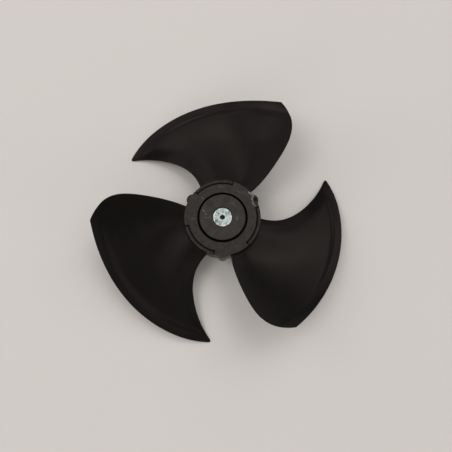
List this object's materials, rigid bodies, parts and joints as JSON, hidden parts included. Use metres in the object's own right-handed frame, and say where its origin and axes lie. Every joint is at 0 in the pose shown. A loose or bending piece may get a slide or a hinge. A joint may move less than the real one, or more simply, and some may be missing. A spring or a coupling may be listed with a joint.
{
  "type": "axial fan impeller",
  "caption": "Axial fan impeller with swept forward blades, turned-down rims and a ribbed cup hub, round a moulded-in plated steel bush for the motor shaft.",
  "frame": {"origin": "shaft axis at the level of the hub's ring face", "axes": "+Z along the shaft axis, the way the air leaves; +Y towards the top of the picture"},
  "size_m": [0.3998, 0.3966, 0.1262],
  "materials": {
    "black_plastic": "fine satin, glass-filled",
    "plated_steel": "dull zinc plate"
  },
  "bodies": {
    "root": {"impeller": "black_plastic", "shaft_bush": "plated_steel"}
  },
  "joints": []
}
